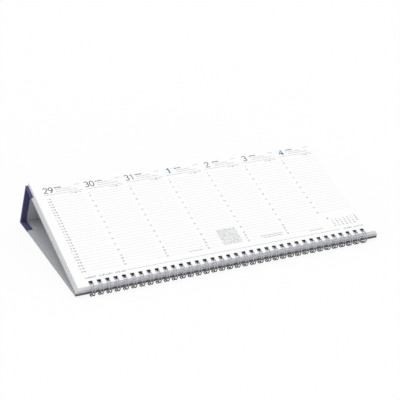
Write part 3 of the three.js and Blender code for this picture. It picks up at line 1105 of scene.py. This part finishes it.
    def foot(self) -> None:
        """Prints the pale rule along the foot and the slate ticks at its two ends."""
        slate = self.layers[Ink.SLATE]
        left_words = ((0.0, 11.0), (14.5, 13.0), (30.5, 11.0))
        right_words = ((4.0, 9.0), (16.0, 11.0))
        left_size, right_size, rule_width = 2.5, 2.3, 0.45
        start, at = self.place(0, -0.5, 28.1)
        for across, length in left_words:
            slate.ticks(start + across, length, at - 1.1, left_size)
        rule_start, rule_end = start + 42.5, self.place(self.last_day, 12.0, 0)[0]
        self.layers[Ink.PALE_BLUE].bar(rule_start, rule_end - rule_start, at + 0.3, rule_width)
        for across, length in right_words:
            slate.ticks(rule_end + across, length, at - 0.6, right_size)

    def build(self) -> list[Object]:
        """Prints the page, and gives one piece for each ink."""
        for day in range(len(self.dates)):
            self.header(day)
            self.hours(day)
        self.notes()
        self.small_month()
        self.foot()
        return [layer.build() for layer in self.layers.values() if layer.points]


def dress_frame(nodes: dict[str, Object], leaf: LeafFrame) -> None:
    """Gives each CAD node that stays its finish, and leaves its shape as it is."""
    greyboard = GreyboardFinish("pressed greyboard").build()
    finishes = {
        "page_pad": LeafStackFinish.fitted_to(leaf).build(),
        # The front cover paper is light grey rather than white: partly painted shade from the pad
        # over its overhang.
        "front_cover_paper": PaperFinish("front cover paper", "d8d8d7", "cfcfce").build(),
        # The base cover paper is dark grey, a tone that stands partly for painted shade in the gap
        # along the base's front edge, under the pad.
        "base_cover_paper": PaperFinish("base cover paper", "6c6c70", "626266").build(),
        "inner_liner": PaperFinish("lining paper", "cdced3", "c3c4c9").build(),
        "front_board": greyboard,
        "base_board": greyboard,
        "back_board": greyboard,
    }
    for name, material in finishes.items():
        materials = nodes[name].data.materials
        materials.clear()
        materials.append(material)
        LOG.info("%s: %s", name, material.name)


@dataclass
class Studio:
    """A pale floor, even light and the camera at the photograph's place.

    Attributes:
        camera_place: the camera in the row frame.
        camera_turn: its turns about X, Y and Z in degrees, in that order.
        lens_mm: its focal length.
        sensor_mm: the width of its sensor.
        sky: the world's strength as a lamp.
        lamps: each far soft lamp's name, strength and the direction in which it stands.
        spread: the angle that each lamp fills, in degrees.
        floor_colour: the floor's colour as it lights the object.
        floor_glow: the share of plain white in the floor as the camera sees it.
        floor_reach: how far the floor goes from the middle.
        clip: the nearest and the furthest distance that the camera sees.
    """

    camera_place: Triple = (-0.5096, -1.1138, 0.6126)
    camera_turn: Triple = (64.835, -1.054, -24.140)
    lens_mm: float = 117.86
    sensor_mm: float = 36.0
    sky: float = 0.695
    lamps: tuple[tuple[str, float, Triple], ...] = (
        ("overhead softbox", 0.76, (-0.22, 0.1, 1.0)),
        ("front softbox", 0.95, (0.1, -1.0, 0.1)),
    )
    spread: float = 40.0
    floor_colour: str = "c8c8c8"
    floor_glow: float = 0.9
    floor_reach: float = 6.0
    clip: tuple[float, float] = (0.05, 50.0)

    def seen_ray(self, tree: Tree) -> Socket:
        """Adds nodes that give one where the camera sees a surface, straight or by a mirror."""
        light = add_node(tree, "ShaderNodeLightPath")
        value = light.outputs["Is Camera Ray"]
        for name in ("Is Glossy Ray", "Is Transmission Ray"):
            value = math_node(tree, "MAXIMUM", value, light.outputs[name])
        return value

    def build_world(self) -> None:
        """Sets a white world that is a lamp of even strength and shows as plain white."""
        world = bpy.data.worlds.new("studio")
        world.use_nodes = True
        bpy.context.scene.world = world
        tree = world.node_tree
        strengths = {"Factor": self.seen_ray(tree), 2: self.sky, 3: 1.0}
        strength = add_node(tree, "ShaderNodeMix", strengths, data_type="FLOAT")
        background = tree.nodes["Background"]
        background.inputs["Color"].default_value = WHITE
        tree.links.new(strength.outputs[0], background.inputs["Strength"])

    def build_floor(self) -> None:
        """Lays the floor: matt paint that the camera sees brightened towards white."""
        near, far = -self.floor_reach, self.floor_reach
        mesh = bpy.data.meshes.new("floor")
        corners = [(near, near, 0), (far, near, 0), (far, far, 0), (near, far, 0)]
        mesh.from_pydata(corners, [], [(0, 1, 2, 3)])
        material, tree = new_material("matt white floor")
        tree.nodes.clear()
        seen_ray = self.seen_ray(tree)
        paint = mix_colours(tree, seen_ray, linear_colour(self.floor_colour), WHITE)
        matt = add_node(tree, "ShaderNodeBsdfDiffuse", {"Color": paint}).outputs[0]
        glow = add_node(tree, "ShaderNodeEmission", {"Color": WHITE, "Strength": 1.0}).outputs[0]
        share = math_node(tree, "MULTIPLY", seen_ray, self.floor_glow)
        mixed = add_node(tree, "ShaderNodeMixShader", {"Fac": share, 1: matt, 2: glow})
        add_node(tree, "ShaderNodeOutputMaterial", {"Surface": mixed.outputs[0]})
        mesh.materials.append(material)
        floor = add_object("floor", mesh)

    def build_lamps(self) -> None:
        """Hangs the lamps."""
        for name, strength, stands in self.lamps:
            lamp = bpy.data.lights.new(name, "SUN")
            lamp.energy = strength
            lamp.angle = math.radians(self.spread)
            turn = Vector(stands).to_track_quat("Z", "Y").to_euler()
            add_object(name, lamp).rotation_euler = turn

    def build_camera(self) -> None:
        """Stands the camera where the photograph was taken from."""
        data = bpy.data.cameras.new("camera")
        data.lens = self.lens_mm
        data.sensor_width = self.sensor_mm
        data.clip_start, data.clip_end = self.clip
        camera = add_object("camera", data)
        camera.location = self.camera_place
        camera.rotation_euler = Euler([math.radians(a) for a in self.camera_turn], "XYZ")
        bpy.context.scene.camera = camera

    def build(self) -> None:
        """Sets up the whole studio."""
        bpy.context.scene.view_settings.view_transform = "Standard"
        self.build_camera()
        self.build_world()
        self.build_floor()
        self.build_lamps()


def clear_scene() -> None:
    """Removes what Blender starts with."""
    for thing in list(bpy.data.objects):
        bpy.data.objects.remove(thing)


def main() -> None:
    """Builds the calendar round its frame."""
    logging.basicConfig(level=logging.INFO, format="%(name)s %(message)s")
    clear_scene()
    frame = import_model()
    nodes = frame["nodes"]
    Studio().build()
    leaf = LeafFrame(nodes["page_pad"])
    dress_frame(nodes, leaf)
    TwinLoopBinding(leaf, nodes["binding_wire"]).build(WireFinish("silver coated wire"))
    SpineCloth(leaf, nodes).build(BookClothFinish("navy book cloth"))
    WeekPage(leaf).build()


if __name__ == "__main__":
    main()
